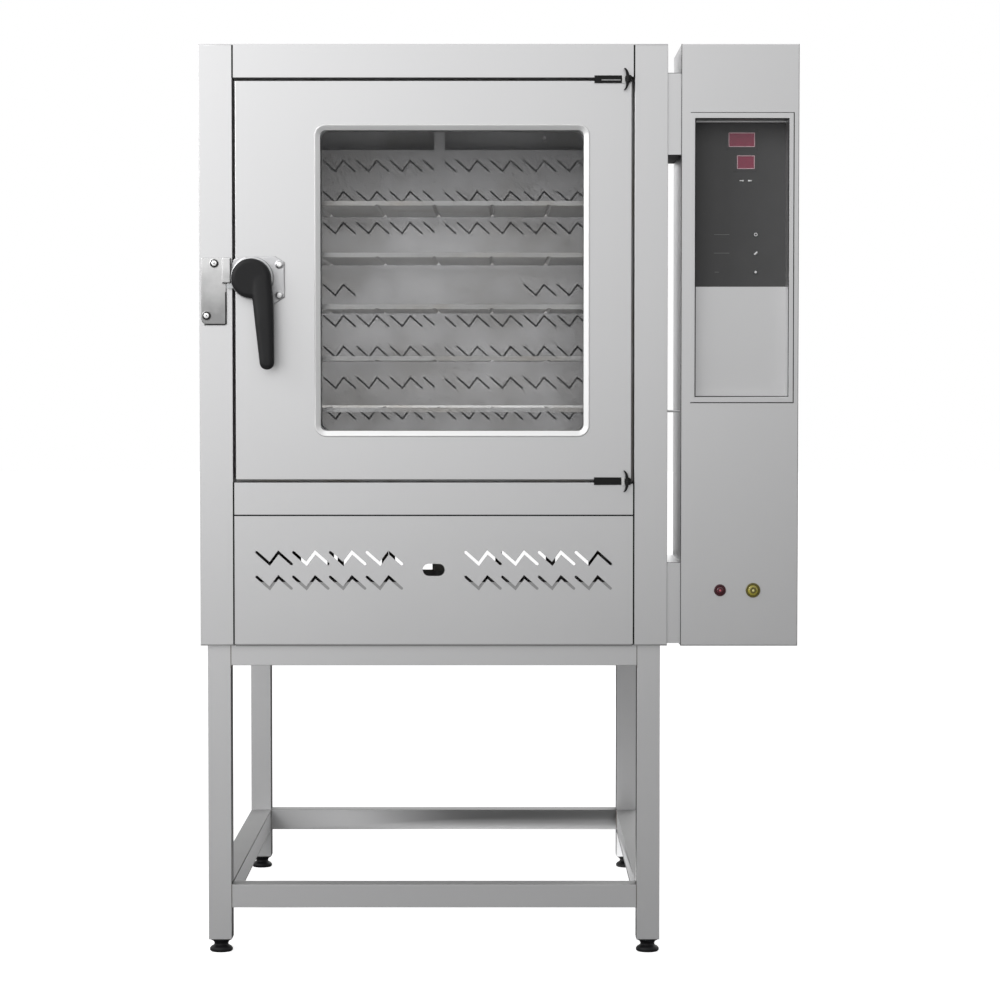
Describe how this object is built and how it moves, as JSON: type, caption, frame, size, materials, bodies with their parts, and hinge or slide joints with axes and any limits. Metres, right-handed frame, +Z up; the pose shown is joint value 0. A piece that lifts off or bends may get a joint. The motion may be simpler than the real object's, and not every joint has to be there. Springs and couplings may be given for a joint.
{
  "type": "gas bakery oven",
  "caption": "Gas convection bakery oven on an open square-tube stand: glazed side-hinged door, baguette trays, burner drawer front with zigzag slots and a control box at its side",
  "frame": {"origin": "bottom centre of the whole part's box", "axes": "+Z up, +Y to the rear, +X to the right seen from the front; the door faces -Y"},
  "size_m": [1.0314, 1.068, 1.631],
  "materials": {
    "stainless": "satin",
    "stand_steel": "satin",
    "chamber_steel": "satin",
    "plated_steel": "satin",
    "tray_aluminium": "satin",
    "cast_aluminium": "cast, matte",
    "black_plastic": "matte",
    "black_metal": "satin",
    "dark_steel": "heat stained",
    "pane": "clear, slightly tinted",
    "silicone": "matte",
    "mineral_wool": "matte",
    "motor_paint": "semi-gloss",
    "gas_brass": "satin",
    "ceramic": "glazed",
    "foot_metal": "satin",
    "membrane": "matte",
    "display": "gloss",
    "lamp": "gloss",
    "board": "matte",
    "gland_nylon": "matte"
  },
  "bodies": {
    "oven": {"stand_legs": "stand_steel", "stand_top_rails": "stand_steel", "stand_lower_rails": "stand_steel", "side_panel_left": "stainless", "side_panel_right": "stainless", "roof_panel": "stainless", "rear_panel": "stainless", "front_header": "stainless", "middle_rail": "stainless", "base_pan": "plated_steel", "burner_cover": "stainless", "chamber_walls": "chamber_steel", "chamber_back": "chamber_steel", "chamber_mouth": "chamber_steel", "insulation": "mineral_wool", "motor_plate": "plated_steel", "fan_baffle": "chamber_steel", "baffle_strap": "chamber_steel", "tray_racks": "chamber_steel", "fan_motor": "motor_paint", "flue_duct": "plated_steel", "burner_tubes": "dark_steel", "gas_train": "gas_brass", "igniter": "ceramic", "temperature_probe": "plated_steel", "keeper_plate": "stainless", "hinge_horns": "black_metal", "control_case": "stainless", "control_bezel": "stainless", "membrane_panel": "membrane", "display_windows": "display", "blank_plate": "stainless", "pilot_lamps": "lamp", "box_brackets": "plated_steel", "control_electronics": "board", "cable_gland": "gland_nylon"},
    "door": {"door_hinge_arms": "black_metal", "door_skin": "stainless", "door_liner": "chamber_steel", "door_glass": "pane", "window_trim": "stainless", "door_gasket": "silicone", "door_insulation": "mineral_wool", "handle_housing": "cast_aluminium"},
    "handle": {"handle_lever": "black_plastic", "latch_tongue": "plated_steel"},
    "fan": {"motor_shaft": "plated_steel", "fan_wheel": "chamber_steel"},
    "tray_1": {"tray_1": "tray_aluminium"},
    "tray_2": {"tray_2": "tray_aluminium"},
    "tray_3": {"tray_3": "tray_aluminium"},
    "tray_4": {"tray_4": "tray_aluminium"},
    "tray_5": {"tray_5": "tray_aluminium"},
    "foot_1": {"foot_1": "foot_metal"},
    "foot_2": {"foot_2": "foot_metal"},
    "foot_3": {"foot_3": "foot_metal"},
    "foot_4": {"foot_4": "foot_metal"},
    "key_1": {"key_1": "membrane"},
    "key_2": {"key_2": "membrane"},
    "key_3": {"key_3": "membrane"}
  },
  "joints": [
    {"name": "door_swing", "type": "hinge", "parent": "oven", "child": "door", "pos_m": [0.2223, -0.482, 1.16555], "axis": [0, 0, 1], "range_deg": [0, 135]},
    {"name": "handle_turn", "type": "hinge", "parent": "door", "child": "handle", "pos_m": [-0.4269, -0.492, 1.16855], "axis": [0, -1, 0], "range_deg": [0, 90]},
    {"name": "fan_spin", "type": "hinge", "parent": "oven", "child": "fan", "pos_m": [-0.1127, 0.16, 1.16555], "axis": [0, 1, 0], "continuous": true},
    {"name": "tray_1_slide", "type": "slide", "parent": "oven", "child": "tray_1", "axis": [0, -1, 0], "range_m": [0, 0.022]},
    {"name": "tray_2_slide", "type": "slide", "parent": "oven", "child": "tray_2", "axis": [0, -1, 0], "range_m": [0, 0.022]},
    {"name": "tray_3_slide", "type": "slide", "parent": "oven", "child": "tray_3", "axis": [0, -1, 0], "range_m": [0, 0.022]},
    {"name": "tray_4_slide", "type": "slide", "parent": "oven", "child": "tray_4", "axis": [0, -1, 0], "range_m": [0, 0.022]},
    {"name": "tray_5_slide", "type": "slide", "parent": "oven", "child": "tray_5", "axis": [0, -1, 0], "range_m": [0, 0.022]},
    {"name": "foot_1_level", "type": "slide", "parent": "oven", "child": "foot_1", "axis": [0, 0, -1], "range_m": [0, 0.02]},
    {"name": "foot_2_level", "type": "slide", "parent": "oven", "child": "foot_2", "axis": [0, 0, -1], "range_m": [0, 0.02]},
    {"name": "foot_3_level", "type": "slide", "parent": "oven", "child": "foot_3", "axis": [0, 0, -1], "range_m": [0, 0.02]},
    {"name": "foot_4_level", "type": "slide", "parent": "oven", "child": "foot_4", "axis": [0, 0, -1], "range_m": [0, 0.02]},
    {"name": "key_1_press", "type": "slide", "parent": "oven", "child": "key_1", "axis": [0, 1, 0], "range_m": [0, 0.0006], "stiffness_N_per_m": 800},
    {"name": "key_2_press", "type": "slide", "parent": "oven", "child": "key_2", "axis": [0, 1, 0], "range_m": [0, 0.0006], "stiffness_N_per_m": 800},
    {"name": "key_3_press", "type": "slide", "parent": "oven", "child": "key_3", "axis": [0, 1, 0], "range_m": [0, 0.0006], "stiffness_N_per_m": 800}
  ]
}
